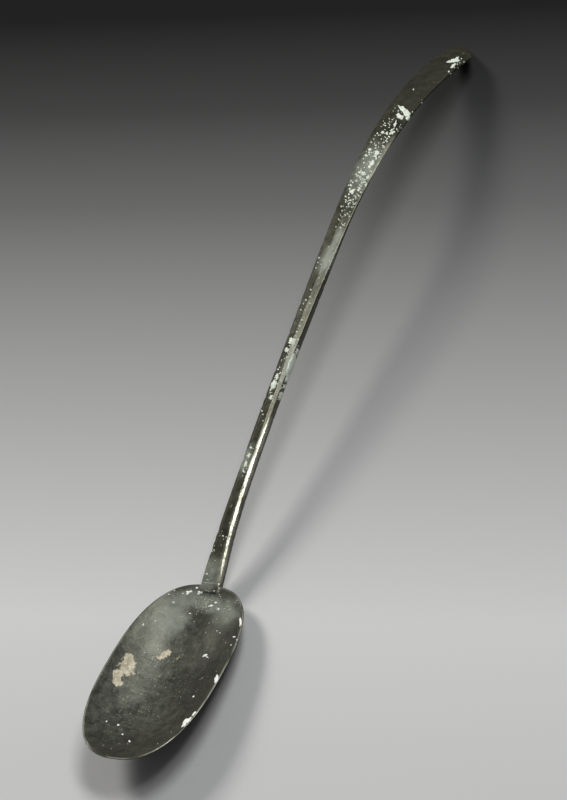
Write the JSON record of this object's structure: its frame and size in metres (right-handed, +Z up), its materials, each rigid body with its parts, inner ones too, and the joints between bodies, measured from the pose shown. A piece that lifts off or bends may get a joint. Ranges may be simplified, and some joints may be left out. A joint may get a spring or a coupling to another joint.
{
  "type": "long-handled spoon",
  "caption": "Long-handled dark bronze spoon: shallow oval bowl soldered to a slender bevelled handle that widens into a curved flat strap.",
  "frame": {"origin": "on the table, under the middle of the spoon's length and width, as the spoon lies on it", "axes": "+X along the spoon from the bowl to the handle's end, +Y to the spoon's left seen from above with the handle pointing away, +Z up"},
  "size_m": [0.3002, 0.039, 0.028],
  "materials": {
    "bowl_bronze": "dark olive-brown patina, satin, with pale specks of corrosion",
    "handle_bronze": "dark olive-brown patina, burnished on the bevels, with pale green-white corrosion",
    "solder": "dull grey soft solder"
  },
  "bodies": {
    "root": {"bowl": "bowl_bronze", "handle": "handle_bronze", "solder": "solder"}
  },
  "joints": []
}
